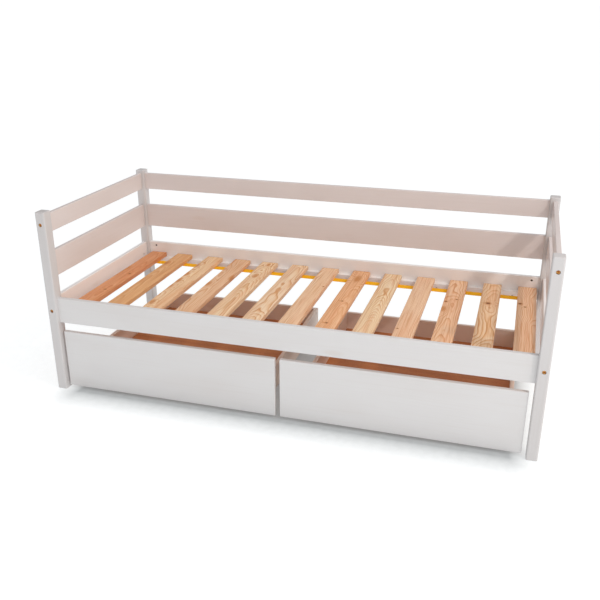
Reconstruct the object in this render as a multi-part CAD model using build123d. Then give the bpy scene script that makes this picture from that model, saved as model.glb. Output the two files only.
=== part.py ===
"""Child's day bed in lacquered pine, with two roll-out drawers under it.

Millimetres. +Z is up, +X runs along the bed and the open front faces -Y. The origin is on the
floor, in the middle of the four posts. Each piece of the bed is written to parts/NODE.step.
"""
from build123d import *
import os

# ---- driving dimensions ----------------------------------------------------------------
LENGTH = 1965.0          # over the posts, along X
WIDTH = 870.0            # over the posts, along Y
HEIGHT = 769.0           # floor to the top of a post
POST_X = 42.0            # section of a post
POST_Y = 48.0
RAIL_T = 18.0            # thickness of every rail
RECESS_X = 10.0          # post's end face to the outer face of an end rail
RECESS_Y = 16.0          # post's front or back face to the outer face of a long rail
TOP_Z = (677.5, 753.5)   # bottom and top of the narrow top rails
MIDDLE_Z = (491.5, 599.5)
SIDE_Z = (302.0, 410.0)  # the rails round the mattress

POST_ARRIS = 6.0         # rounding of the posts' long edges
POST_CROWN = 4.0         # rounding of the posts' top edges
POST_FOOT = 3.0          # rounding of the posts' bottom edges
RAIL_ARRIS = 2.5

SLAT_TOP = 360.0
SLAT = (78.0, 20.0)      # width and thickness
SLAT_ARRIS = 2.0
SLAT_END_GAP = 3.0       # slat end to rail face
SLAT_FIRST = 92.0        # left end of the bed to the first slat's middle line
SLAT_PITCH = 148.7
SLAT_DRIFT = (0, -9, 4, 1, -7, -5, -3, -1, -2, 1, 0, -1, 0)  # how far each slat lies off its place
LEDGER = (20.0, 30.0)    # depth and height of the strips that carry the slats
LEDGER_ARRIS = 1.0
LEDGER_END_GAP = 2.0     # post face to ledger end
TAPE_W = 42.0
TAPE_T = 1.2
TAPE_IN = 74.0           # rail face to the near edge of the tape
TAPE_GAP = 0.3           # slat to tape
TAPE_END = 12.0          # tape end, in from the outer slat's edge

# ---- fastenings ------------------------------------------------------------------------
BOLT_R = 3.0
BOLT_PAST_NUT = 4.0      # bolt end beyond the barrel nut's middle
BOLT_HOLE_R = 3.5
HEAD_R = 6.5
HEAD_H = 6.0
HEAD_ARRIS = 0.8
SOCKET_AF = 5.0          # across the flats of the hexagon socket
SOCKET_DEPTH = 3.5
COUNTERBORE_R = 7.5
COUNTERBORE_DEPTH = 9.0
NUT_R = 5.0
NUT_LENGTH = 10.0
NUT_HOLE_R = 5.2
NUT_HOLE_DEPTH = 16.0
NUT_THREAD_R = 3.1
NUT_SLOT = (1.4, 1.6)    # width and depth of the driver slot
NUT_FROM_POST = 33.0     # barrel nut's middle, from the face of the post
BOLT_HOLE_IN_RAIL = 44.0
DOWEL_R = 4.0
DOWEL_LENGTH = 36.0
DOWEL_SLACK = 0.5        # depth of hole beyond the dowel at each end
END_BOLT_Z = (717.5, 355.5)
SIDE_BOLT_Z = (392.0, 318.0)
BACK_BOLT_Z = (698.0, 546.0)
END_DOWEL_Z = (697.0, 520.0, 572.0, 335.0, 376.0)
SIDE_DOWEL_Z = (355.0,)
BACK_DOWEL_Z = (735.0, 520.0, 572.0)
LEDGER_SCREWS = 6
LEDGER_SCREW_END = 149.0  # end of the bed to the first ledger screw
LEDGER_SCREW_Z = 320.0
LEDGER_SCREW_BITE = 0.75  # share of the rail's thickness that a ledger screw goes into
FIT = 0.05               # clearance round a screw, dowel or groove
PAST = 1.0               # how far a cutter stands out of what it cuts

# ---- drawers ---------------------------------------------------------------------------
FRONT_SIZE = (918.0, 16.0, 249.0)   # width, thickness, height
FRONT_Z = 14.0           # floor to the lower edge of the front
FRONT_SET_BACK = 18.0    # post face to drawer face
FRONT_LEFT = {"left_drawer": 51.0, "right_drawer": 988.5}  # left end of the bed to the front
FRONT_CORNER = 3.0
FRONT_ARRIS = 2.5
BOX_INSET = (66.5, 46.5)  # front's left and right ends to the box
BOX_BACK = 830.0         # bed's front plane to the outside of the box's back
BOARD_T = 16.0
BOX_Z = (50.0, 152.0)
BOARD_ARRIS = 1.5
BOTTOM_Z = (66.0, 70.0)
BOTTOM_SLACK = 0.5       # edge of the bottom to the end of its groove
GROOVE_DEPTH = 5.0
BATTEN_Y = (66.0, 722.0)  # bed's front plane to each batten
BATTEN_W = 60.0
CORNER_SCREW_Z = (85.0, 125.0)
FRONT_SCREW_Z = (90.0, 130.0)
FRONT_SCREW_IN = 130.0   # box corner to the screws that hold the front
CORNER_SCREW = (40.0, 2.0)  # length and radius
FRONT_SCREW = (28.0, 2.0)
CASTOR_SCREW = (13.0, 1.5)

# ---- castors ---------------------------------------------------------------------------
WHEEL_R = 20.0
WHEEL_W = 16.0
TREAD_ARRIS = 3.0
WEB_DEPTH = 2.5          # how far a wheel's web is sunk below its rim
RIM_T = 5.0
HUB_T = 3.5
AXLE_R = 3.0
AXLE_FIT = 0.06
FORK_PLATE = (44.0, 2.0)  # side and thickness
FORK_PLATE_CORNER = 4.0
FORK_CHEEK_T = 2.0
FORK_CHEEK_IN = 4.0      # plate edge to the top of a cheek
FORK_GAP = 1.0           # wheel to cheek
FORK_FOOT_R = 10.0
CASTOR_SCREW_IN = 6.0    # plate edge to its screws
CASTOR_IN = 45.0         # inside of the box to a castor's middle
RIVET_R = 5.0
RIVET_H = 1.5

X, Y, Z = (Vector(1, 0, 0), Vector(0, 1, 0), Vector(0, 0, 1))
CENTRED_BASE = (Align.CENTER, Align.CENTER, Align.MIN)
MID_X = RECESS_X + RAIL_T / 2       # post's end face to an end rail's middle plane
MID_Y = RECESS_Y + RAIL_T / 2       # post's front face to a long rail's middle plane
INNER_X = RECESS_X + RAIL_T         # post's end face to an end rail's inner face
INNER_Y = RECESS_Y + RAIL_T         # post's front face to a long rail's inner face


def from_left(distance):
    """X of a plane this far from the bed's left end."""
    return distance - LENGTH / 2


def from_front(distance):
    """Y of a plane this far behind the bed's front plane."""
    return distance - WIDTH / 2


def block(x, y, z):
    """Box between two values on each axis."""
    size = [abs(high - low) for low, high in (x, y, z)]
    centre = [(low + high) / 2 for low, high in (x, y, z)]
    return Pos(*centre) * Box(*size)


def board(x, y, z, along, radius):
    """Box with its edges rounded along one axis."""
    plain = block(x, y, z)
    return fillet(plain.edges().filter_by(along), radius)


def rod(start, direction, radius, length):
    """Cylinder from a point, in a direction."""
    return Plane(origin=start, z_dir=direction) * Cylinder(radius, length, align=CENTRED_BASE)


def overlaps(one, other):
    """True where the two shapes' boxes meet."""
    a, b = one.bounding_box(), other.bounding_box()
    pairs = ((a.min.X, a.max.X, b.min.X, b.max.X),
             (a.min.Y, a.max.Y, b.min.Y, b.max.Y),
             (a.min.Z, a.max.Z, b.min.Z, b.max.Z))
    return all(low_a < high_b and low_b < high_a for low_a, high_a, low_b, high_b in pairs)


def drilled(solid, holes):
    """The solid with every hole cut that reaches it."""
    for hole in holes:
        if overlaps(solid, hole):
            solid = solid - hole
    return solid


# ---- bolted and dowelled corners -------------------------------------------------------
class Bolt:
    """One bolt through a post into the end of a rail, with its barrel nut."""

    def __init__(self, face_point, into, nut_opens, post_depth):
        self.face = face_point
        self.into = into
        self.opens = nut_opens
        self.through = post_depth
        self.nut_middle = face_point + into * (post_depth + NUT_FROM_POST)

    def solid(self):
        seat = self.face + self.into * COUNTERBORE_DEPTH
        head = rod(seat - self.into * HEAD_H, self.into, HEAD_R, HEAD_H)
        head = fillet(head.edges().group_by(Axis((0, 0, 0), tuple(self.into)))[0], HEAD_ARRIS)
        flats = RegularPolygon(SOCKET_AF / 2, 6, major_radius=False)
        top = Plane(origin=seat - self.into * HEAD_H, z_dir=self.into)
        socket = extrude(top * flats, SOCKET_DEPTH)
        length = self.through + NUT_FROM_POST + BOLT_PAST_NUT - COUNTERBORE_DEPTH
        shank = rod(seat, self.into, BOLT_R, length)
        return head + shank - socket

    def nut(self):
        start = self.nut_middle - self.opens * (NUT_LENGTH / 2)
        barrel = rod(start, self.opens, NUT_R, NUT_LENGTH)
        thread = rod(self.nut_middle - self.into * (2 * NUT_R), self.into, NUT_THREAD_R, 4 * NUT_R)
        width, depth = NUT_SLOT
        middle = start + self.opens * (NUT_LENGTH - depth / 2)
        face = Plane(origin=middle, x_dir=self.into, z_dir=self.opens)
        return barrel - thread - face * Box(3 * NUT_R, width, depth)

    def holes(self):
        outside = self.face - self.into * PAST
        counterbore = rod(outside, self.into, COUNTERBORE_R, COUNTERBORE_DEPTH + PAST)
        clearance = rod(self.face, self.into, BOLT_HOLE_R, self.through + BOLT_HOLE_IN_RAIL)
        mouth = self.nut_middle + self.opens * (RAIL_T / 2 + PAST)
        nut_hole = rod(mouth, -self.opens, NUT_HOLE_R, NUT_HOLE_DEPTH + PAST)
        return [counterbore, clearance, nut_hole]


def corner_bolts(side_x, side_y):
    """The bolts through one post: along Y into the end rails, along X into the long ones."""
    bolts = []
    end_x = side_x * (LENGTH / 2 - MID_X)
    long_y = side_y * (WIDTH / 2 - MID_Y)
    for z in END_BOLT_Z:
        opens = X * side_x if z > SIDE_Z[1] else X * -side_x
        face = Vector(end_x, side_y * WIDTH / 2, z)
        bolts.append(Bolt(face, Y * -side_y, opens, POST_Y))
    for z in SIDE_BOLT_Z:
        face = Vector(side_x * LENGTH / 2, long_y, z)
        bolts.append(Bolt(face, X * -side_x, Y * -side_y, POST_X))
    if side_y > 0:
        for z in BACK_BOLT_Z:
            face = Vector(side_x * LENGTH / 2, long_y, z)
            bolts.append(Bolt(face, X * -side_x, Y, POST_X))
    return bolts


def dowel_lines(side_x, side_y):
    """Middle point and direction of each dowel at one post."""
    end_x = side_x * (LENGTH / 2 - MID_X)
    long_y = side_y * (WIDTH / 2 - MID_Y)
    lines = [(Vector(end_x, side_y * (WIDTH / 2 - POST_Y), z), Y) for z in END_DOWEL_Z]
    heights = SIDE_DOWEL_Z + (BACK_DOWEL_Z if side_y > 0 else ())
    lines += [(Vector(side_x * (LENGTH / 2 - POST_X), long_y, z), X) for z in heights]
    return lines


def dowel(middle, along, grow=0.0, extra=0.0):
    """A dowel, or the hole for it when it is grown."""
    length = DOWEL_LENGTH + 2 * extra
    return rod(middle - along * (length / 2), along, DOWEL_R + grow, length)


def wood_screw(head_point, into, length, radius=2.0, grow=0.0):
    """A countersunk screw whose head is flush at a point, or the hole for it when grown."""
    head_r, head_h = 2 * radius, 1.2 * radius
    shank = rod(head_point, into, radius + grow, length + grow)
    cone = Cone(head_r + grow, radius + grow, head_h, align=CENTRED_BASE)
    return shank + Plane(origin=head_point, z_dir=into) * cone


# ---- frame -----------------------------------------------------------------------------
def post(side_x, side_y, holes):
    x = sorted((side_x * (LENGTH / 2 - POST_X), side_x * LENGTH / 2))
    y = sorted((side_y * (WIDTH / 2 - POST_Y), side_y * WIDTH / 2))
    plain = board(x, y, (0, HEIGHT), Axis.Z, POST_ARRIS)
    crowned = fillet(plain.faces().sort_by(Axis.Z)[-1].edges(), POST_CROWN)
    eased = fillet(crowned.faces().sort_by(Axis.Z)[0].edges(), POST_FOOT)
    return drilled(eased, holes)


def end_rail(side_x, z, holes):
    """A rail across one end of the bed, between its two posts."""
    x = sorted((side_x * (LENGTH / 2 - RECESS_X), side_x * (LENGTH / 2 - INNER_X)))
    y = (POST_Y - WIDTH / 2, WIDTH / 2 - POST_Y)
    return drilled(board(x, y, z, Axis.Y, RAIL_ARRIS), holes)


def long_rail(side_y, z, holes):
    """A rail along the front or the back, between its two posts."""
    x = (POST_X - LENGTH / 2, LENGTH / 2 - POST_X)
    y = sorted((side_y * (WIDTH / 2 - RECESS_Y), side_y * (WIDTH / 2 - INNER_Y)))
    return drilled(board(x, y, z, Axis.X, RAIL_ARRIS), holes)


def ledger_screw_points(side_y):
    """Head points of the screws through one ledger."""
    run = LENGTH - 2 * LEDGER_SCREW_END
    y = side_y * (WIDTH / 2 - INNER_Y - LEDGER[0])
    places = [from_left(LEDGER_SCREW_END + run * i / (LEDGER_SCREWS - 1)) for i in range(LEDGER_SCREWS)]
    return [Vector(x, y, LEDGER_SCREW_Z) for x in places]


def ledger(side_y, holes):
    """The strip on the inner face of a side rail that carries the slats."""
    top = SLAT_TOP - SLAT[1]
    reach = LENGTH / 2 - POST_X - LEDGER_END_GAP
    y = sorted((side_y * (WIDTH / 2 - INNER_Y), side_y * (WIDTH / 2 - INNER_Y - LEDGER[0])))
    strip = board((-reach, reach), y, (top - LEDGER[1], top), Axis.X, LEDGER_ARRIS)
    return drilled(strip, holes)


def slat_middle(index):
    return from_left(SLAT_FIRST + SLAT_PITCH * index + SLAT_DRIFT[index])


def slat(index):
    half, reach = SLAT[0] / 2, WIDTH / 2 - INNER_Y - SLAT_END_GAP
    middle = slat_middle(index)
    return board((middle - half, middle + half), (-reach, reach),
                 (SLAT_TOP - SLAT[1], SLAT_TOP), Axis.Y, SLAT_ARRIS)


def slat_tapes():
    """The two webbing tapes under the slats."""
    top = SLAT_TOP - SLAT[1] - TAPE_GAP
    reach = SLAT[0] / 2 - TAPE_END
    x = (slat_middle(0) - reach, slat_middle(len(SLAT_DRIFT) - 1) + reach)
    near = WIDTH / 2 - INNER_Y - TAPE_IN
    return [block(x, sorted((side * near, side * (near - TAPE_W))), (top - TAPE_T, top))
            for side in (-1, 1)]


def frame_parts():
    corners = [(side_x, side_y) for side_x in (-1, 1) for side_y in (-1, 1)]
    bolts = [bolt for corner in corners for bolt in corner_bolts(*corner)]
    lines = [line for corner in corners for line in dowel_lines(*corner)]
    holes = [hole for bolt in bolts for hole in bolt.holes()]
    holes += [dowel(*line, grow=FIT, extra=DOWEL_SLACK) for line in lines]
    screws = [(point, Y * side) for side in (-1, 1) for point in ledger_screw_points(side)]
    length = LEDGER[0] + RAIL_T * LEDGER_SCREW_BITE
    screw_holes = [wood_screw(point, into, length, grow=FIT) for point, into in screws]

    parts = {}
    x_names, y_names = {-1: "left", 1: "right"}, {-1: "front", 1: "back"}
    for side_x, side_y in corners:
        parts[f"{y_names[side_y]}_{x_names[side_x]}_post"] = post(side_x, side_y, holes)
    levels = {"top": TOP_Z, "middle": MIDDLE_Z, "bottom": SIDE_Z}
    for side_x, x_name in x_names.items():
        for level, z in levels.items():
            parts[f"{x_name}_end_{level}_rail"] = end_rail(side_x, z, holes)
    for level, z in levels.items():
        parts[f"back_{level}_rail"] = long_rail(1, z, holes + screw_holes)
    parts["front_side_rail"] = long_rail(-1, SIDE_Z, holes + screw_holes)
    for side_y, y_name in y_names.items():
        parts[f"{y_name}_ledger"] = ledger(side_y, screw_holes)
    for index in range(len(SLAT_DRIFT)):
        parts[f"slat_{index + 1:02d}"] = slat(index)
    parts["slat_tapes"] = slat_tapes()
    parts["frame_bolts"] = [bolt.solid() for bolt in bolts]
    parts["barrel_nuts"] = [bolt.nut() for bolt in bolts]
    parts["frame_dowels"] = [dowel(*line) for line in lines]
    parts["ledger_screws"] = [wood_screw(point, into, length) for point, into in screws]
    return parts


# ---- drawers ---------------------------------------------------------------------------
def fork_cheek(x, y, sign):
    """One cheek of a castor's fork: a round foot at the axle and a web up to the plate."""
    start = Vector(x + sign * (WHEEL_W / 2 + FORK_GAP), y, WHEEL_R)
    foot = rod(start, X * sign, FORK_FOOT_R, FORK_CHEEK_T)
    half = FORK_PLATE[0] / 2 - FORK_CHEEK_IN
    top = BOX_Z[0] + FORK_PLATE[1] / 2 - WHEEL_R
    outline = Polyline((-FORK_FOOT_R, 0), (FORK_FOOT_R, 0), (half, top), (-half, top), close=True)
    web = extrude(make_face(Plane(origin=start, x_dir=Y, z_dir=X) * outline), FORK_CHEEK_T * sign)
    return foot + web


def castor_fork(x, y):
    """Pressed steel fork under a batten, with its axle as a second solid."""
    side, plate_t = FORK_PLATE
    fork = board((x - side / 2, x + side / 2), (y - side / 2, y + side / 2),
                 (BOX_Z[0], BOX_Z[0] + plate_t), Axis.Z, FORK_PLATE_CORNER)
    for sign in (-1, 1):
        fork = fork + fork_cheek(x, y, sign)
    half = WHEEL_W / 2 + FORK_GAP + FORK_CHEEK_T
    bore = rod(Vector(x - half - PAST, y, WHEEL_R), X, AXLE_R + FIT / 2, 2 * (half + PAST))
    axle = rod(Vector(x - half - RIVET_H, y, WHEEL_R), X, AXLE_R, 2 * (half + RIVET_H))
    for sign in (-1, 1):
        axle = axle + rod(Vector(x + sign * half, y, WHEEL_R), X * sign, RIVET_R, RIVET_H)
    return fork - bore, axle


def wheel(x, y):
    """Moulded wheel with a rounded tread and a sunk web on each face."""
    start = Vector(x - WHEEL_W / 2, y, WHEEL_R)
    disc = rod(start, X, WHEEL_R, WHEEL_W)
    disc = fillet(disc.edges().filter_by(GeomType.CIRCLE), TREAD_ARRIS)
    depth = WEB_DEPTH + PAST
    for sign in (-1, 1):
        face = Vector(x + sign * (WHEEL_W / 2 - WEB_DEPTH), y, WHEEL_R)
        hub = rod(face, X * sign, AXLE_R + HUB_T, depth)
        disc = disc - (rod(face, X * sign, WHEEL_R - RIM_T, depth) - hub)
    return disc - rod(start - X * PAST, X, AXLE_R + AXLE_FIT, WHEEL_W + 2 * PAST)


class Drawer:
    """The places of one drawer's boards, and the boards themselves."""

    def __init__(self, name):
        width, thickness, height = FRONT_SIZE
        left = from_left(FRONT_LEFT[name])
        face = from_front(FRONT_SET_BACK)
        self.front_span = ((left, left + width), (face, face + thickness), (FRONT_Z, FRONT_Z + height))
        self.outer = (left + BOX_INSET[0], left + width - BOX_INSET[1])
        self.inner = (self.outer[0] + BOARD_T, self.outer[1] - BOARD_T)
        self.box_y = (face + thickness, from_front(BOX_BACK))
        self.batten_z = (BOX_Z[0] + FORK_PLATE[1], BOTTOM_Z[0])
        self.batten_y = [(from_front(start), from_front(start + BATTEN_W)) for start in BATTEN_Y]
        rows = [(low + high) / 2 for low, high in self.batten_y]
        columns = (self.inner[0] + CASTOR_IN, self.inner[1] - CASTOR_IN)
        self.castors = [(x, y) for y in rows for x in columns]

    def screws(self):
        """Head point, direction, length and radius of each screw."""
        screws = []
        batten_mid = sum(self.batten_z) / 2
        ends = (self.box_y[0] + BOARD_T / 2, self.box_y[1] - BOARD_T / 2)
        rows = sorted({y for _, y in self.castors})
        for side, into in ((self.outer[0], X), (self.outer[1], -X)):
            screws += [(Vector(side, y, z), into, *CORNER_SCREW) for y in ends for z in CORNER_SCREW_Z]
            screws += [(Vector(side, y, batten_mid), into, *CORNER_SCREW) for y in rows]
        inside = self.box_y[0] + BOARD_T
        for x in (self.outer[0] + FRONT_SCREW_IN, self.outer[1] - FRONT_SCREW_IN):
            screws += [(Vector(x, inside, z), -Y, *FRONT_SCREW) for z in FRONT_SCREW_Z]
        corner = FORK_PLATE[0] / 2 - CASTOR_SCREW_IN
        for x, y in self.castors:
            screws += [(Vector(x + a * corner, y + b * corner, BOX_Z[0]), Z, *CASTOR_SCREW)
                       for a in (-1, 1) for b in (-1, 1)]
        return screws

    def bottom(self, slack, grow):
        """The bottom board, or the groove it lies in when it is grown."""
        reach = GROOVE_DEPTH - slack
        return block((self.inner[0] - reach, self.inner[1] + reach),
                     (self.box_y[0] + BOARD_T - reach, self.box_y[1] - BOARD_T + reach),
                     (BOTTOM_Z[0] - grow, BOTTOM_Z[1] + grow))

    def front(self):
        plain = block(*self.front_span)
        plain = fillet(plain.edges().filter_by(Axis.Y), FRONT_CORNER)
        return fillet(plain.faces().sort_by(Axis.Y)[0].edges(), FRONT_ARRIS)

    def box_boards(self):
        """The four boards of the box, by name, with the groove for the bottom."""
        low, high = self.box_y
        boards = {
            "left_side": board((self.outer[0], self.inner[0]), self.box_y, BOX_Z, Axis.Y, BOARD_ARRIS),
            "right_side": board((self.inner[1], self.outer[1]), self.box_y, BOX_Z, Axis.Y, BOARD_ARRIS),
            "inner_front": board(self.inner, (low, low + BOARD_T), BOX_Z, Axis.X, BOARD_ARRIS),
            "back": board(self.inner, (high - BOARD_T, high), BOX_Z, Axis.X, BOARD_ARRIS),
        }
        groove = self.bottom(0.0, FIT)
        return {name: solid - groove for name, solid in boards.items()}

    def battens(self):
        return [block(self.inner, span, self.batten_z) for span in self.batten_y]


def drawer_parts(name):
    drawer = Drawer(name)
    screws = drawer.screws()
    holes = [wood_screw(*screw, grow=FIT) for screw in screws]
    forks, axles = zip(*(castor_fork(x, y) for x, y in drawer.castors))
    parts = {"front": drilled(drawer.front(), holes)}
    for board_name, solid in drawer.box_boards().items():
        parts[board_name] = drilled(solid, holes)
    parts["bottom"] = drawer.bottom(BOTTOM_SLACK, 0.0)
    parts["battens"] = [drilled(batten, holes) for batten in drawer.battens()]
    parts["castor_forks"] = [drilled(fork, holes) for fork in forks] + list(axles)
    parts["screws"] = [wood_screw(*screw) for screw in screws]
    for (x, y), place in zip(drawer.castors, ("front_left", "front_right", "rear_left", "rear_right")):
        parts[f"{place}_wheel"] = wheel(x, y)
    return {f"{name}_{part}": solid for part, solid in parts.items()}


def write(parts):
    os.makedirs("parts", exist_ok=True)
    for name, shape in parts.items():
        solids = shape if isinstance(shape, list) else [shape]
        whole = Compound(children=list(solids)) if len(solids) > 1 else solids[0]
        export_step(whole, f"parts/{name}.step")


def main():
    parts = frame_parts()
    for name in FRONT_LEFT:
        parts.update(drawer_parts(name))
    write(parts)
    print(len(parts), "parts")


main()
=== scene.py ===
import bmesh
import bpy
import math
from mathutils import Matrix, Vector


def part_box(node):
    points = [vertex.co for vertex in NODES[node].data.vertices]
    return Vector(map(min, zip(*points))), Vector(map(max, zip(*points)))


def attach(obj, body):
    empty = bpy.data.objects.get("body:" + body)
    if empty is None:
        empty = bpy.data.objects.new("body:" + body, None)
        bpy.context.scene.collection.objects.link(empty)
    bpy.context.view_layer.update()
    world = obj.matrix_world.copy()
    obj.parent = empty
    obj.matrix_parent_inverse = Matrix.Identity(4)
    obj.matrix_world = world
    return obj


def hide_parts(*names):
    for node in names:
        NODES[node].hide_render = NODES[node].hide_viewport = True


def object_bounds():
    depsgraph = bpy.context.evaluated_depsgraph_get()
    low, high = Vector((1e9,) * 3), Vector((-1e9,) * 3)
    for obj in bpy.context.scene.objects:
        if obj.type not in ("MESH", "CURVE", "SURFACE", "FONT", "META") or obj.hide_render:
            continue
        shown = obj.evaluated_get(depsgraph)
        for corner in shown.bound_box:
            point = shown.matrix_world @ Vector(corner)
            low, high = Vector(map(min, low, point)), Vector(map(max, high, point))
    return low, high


bl_info = {
    "name": "Day bed with drawers",
    "version": (1, 0, 0),
    "blender": (4, 5, 0),
    "location": "3D View > Sidebar > Day bed",
    "description": "Finishes a child's day bed: lacquered frame, slats on webbing, two drawers",
    "category": "Add Mesh",
}

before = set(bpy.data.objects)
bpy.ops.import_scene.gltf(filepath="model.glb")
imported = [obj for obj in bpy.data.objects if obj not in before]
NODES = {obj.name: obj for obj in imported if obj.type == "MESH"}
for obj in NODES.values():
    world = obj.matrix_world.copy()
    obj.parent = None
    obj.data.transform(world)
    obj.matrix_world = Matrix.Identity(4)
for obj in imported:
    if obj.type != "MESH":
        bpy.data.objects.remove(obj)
CAD_BOX = [list(corner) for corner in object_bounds()]
DRAWERS = ("left_drawer", "right_drawer")
MM = 0.001

# ---------------------------------------------------------------- the slats, as sorted from the stack
# For each slat from the left: tint, heart of the log (mm to the side, mm below the face, mm of
# rise per metre of length), and its knots (mm across, mm along the bed's width, mm radius). A
# negative radius is a resin stain without a knot.
SLATS = [
    ("#EDBFA0", (14, 46, 10), [(12, -156, 6), (-34, 130, -9), (16, 58, 7)]),
    ("#F2D5B2", (-20, 62, 24), [(-25, 250, -8)]),
    ("#FFF5E6", (-46, 70, 46), [(-34, 258, -8), (-33, 132, -9), (-30, 47, -8), (-38, -37, -9),
                                (-24, -230, -8)]),
    ("#F8E6D8", (-34, 84, 22), [(43, 146, -10), (-31, 41, -8)]),
    ("#FFF8EC", (4, 58, 44), [(3, 360, -6), (-4, 196, -8)]),
    ("#FFF8F0", (10, 72, 26), []),
    ("#FFF2E8", (-60, 60, 12), [(30, 150, 4)]),
    ("#FCDDC4", (26, 96, 20), [(0, 4, 5), (-5, -239, 6), (2, 290, -12)]),
    ("#FFFAEE", (2, 60, 62), []),
    ("#FFF2EA", (70, 50, 8), [(-28, -214, 4)]),
    ("#FFE9DA", (-8, 76, 26), [(-29, 125, 7), (13, 159, 5), (-32, 40, -9)]),
    ("#FFF0E0", (6, 88, 22), [(-5, 153, 11)]),
    ("#FFEBDE", (38, 66, 14), [(-26, 187, 8), (-6, 154, 5)]),
]
KNOTS_PER_SLAT = 5
SAG_SHARES = (0.2, 0.35, 0.5, 0.65, 0.8)  # where the webbing's curve has points between two slats

# The lacquered parts, by which white they get and which way their grain runs.
FRONT_BOARDS = ["front_side_rail", "front_ledger"] + [f"{drawer}_front" for drawer in DRAWERS]
POSTS = [f"{row}_{side}_post" for row in ("front", "back") for side in ("left", "right")]
BACK_BOARDS = ["back_top_rail", "back_middle_rail"]
BACK_LOW_BOARDS = ["back_bottom_rail", "back_ledger"]
END_RAILS = [f"{end}_end_{rail}_rail" for end in ("left", "right") for rail in ("top", "middle")]
END_LOW_RAILS = ["left_end_bottom_rail", "right_end_bottom_rail"]
BOX_ENDS = [f"{drawer}_{board}" for drawer in DRAWERS for board in ("inner_front", "back")]
BOX_SIDES = [f"{drawer}_{side}_side" for drawer in DRAWERS for side in ("left", "right")]
WHEELS = [f"{drawer}_{row}_{side}_wheel"
          for drawer in DRAWERS for row in ("front", "rear") for side in ("left", "right")]

# The studio: metres, and radians for the camera's turn. The floor's edge lies on the horizon.
FLOOR_RADIUS = 400.0
LIT_POINT = (0.0, 0.0, 0.35)
CAMERA_PLACE = (0.8189, -2.876, 1.5287)
CAMERA_TURN = (math.pi / 2 - 0.397, 0.0, 0.290)
CAMERA_SHIFT = (0.0017, 0.0268)

# ---------------------------------------------------------------- what a user may change


def length(name, description, default):
    return bpy.props.FloatProperty(name=name, description=description, default=default, unit="LENGTH",
                                   precision=4)


def linear(hex_colour):
    """The linear RGBA of an sRGB hex colour."""
    channels = [int(hex_colour[i:i + 2], 16) / 255 for i in (1, 3, 5)]
    return [c / 12.92 if c <= 0.04045 else ((c + 0.055) / 1.055) ** 2.4 for c in channels] + [1.0]


def colour(name, description, hex_colour):
    return bpy.props.FloatVectorProperty(
        name=name, description=description, default=linear(hex_colour)[:3], min=0.0, max=1.0, subtype="COLOR")


class DayBedSizes(bpy.types.PropertyGroup):
    slat_arris: length("Slat arris", "Radius of the slats' long edges", 2.0 * MM)
    tape_width: length("Tape width", "Width of the webbing under the slats", 42.0 * MM)
    tape_thickness: length("Tape thickness", "Thickness of the webbing", 1.2 * MM)
    tape_sag: length("Tape sag", "How far the webbing hangs between two slats", 0.3 * MM)
    staple_width: length("Staple width", "Length of a staple's crown", 11.0 * MM)
    staple_leg: length("Staple leg", "Length of a staple's legs", 6.0 * MM)
    staple_wire: length("Staple wire", "Thickness of the staple wire", 1.2 * MM)
    staple_spacing: length("Staple spacing", "Between the two staples of a slat and a tape", 24.0 * MM)
    screw_head: length("Screw head", "Diameter of a screw's countersunk head", 8.0 * MM)
    screw_shank: length("Screw shank", "Diameter of a screw's shank", 3.6 * MM)
    screw_length: length("Screw length", "Length of a screw's shank", 22.0 * MM)
    recess: length("Cross recess", "Depth of the cross recess in a screw's head", 1.8 * MM)


class DayBedColours(bpy.types.PropertyGroup):
    front_lacquer: colour("Front lacquer", "White lacquer on the side rail and drawer fronts", "#E0DFDF")
    post_lacquer: colour("Post lacquer", "White lacquer on the posts", "#D5D3D3")
    # The rails' warmer white is painted bounce light from the pine slats.
    rail_lacquer: colour("Rail lacquer", "White lacquer on the back and end rails, a warmer batch", "#E4DBD8")
    # The low rails' whiter white is painted light: it lifts the shade that the slats throw on them.
    low_rail_lacquer: colour("Low rail lacquer", "White lacquer on the back and end rails at the slats",
                             "#F9F6F4")
    # The drawer boxes get a darker, pinker white than the frame.
    box_lacquer: colour("Box lacquer",
                        "The one thin coat on the drawer boxes, with the pine showing through", "#EEE0D6")
    early_wood: colour("Early wood", "Pale part of a pine growth ring", "#FBE9D2")
    late_wood: colour("Late wood", "Dark part of a pine growth ring", "#D69A64")
    knot: colour("Knot", "Middle of a pine knot", "#8A5432")
    stain: colour("Resin stain", "Pine round a knot, or stained by resin", "#CC8444")
    webbing: colour("Webbing", "Yellow polyester webbing", "#FFC414")
    hardboard: colour("Hardboard", "Smooth face of the drawer bottoms", "#CB8654")
    beech: colour("Beech", "Fluted beech dowels", "#D8B48A")
    yellow_zinc: colour("Yellow zinc", "Yellow-passivated zinc on the bolts", "#B97A45")
    dark_zinc: colour("Dark zinc", "Dull, dark zinc on the barrel nuts", "#564A44")
    clear_zinc: colour("Clear zinc", "Clear zinc on screws and castors", "#C4C6CA")
    nylon: colour("Nylon", "Moulded castor wheels", "#26262A")
    # Near the bed, where the sweep's painted glow is cut back, this grey shows as the painted shadow.
    paper: colour("Paper", "Paper sweep under the bed", "#A2A8AA")


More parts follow.
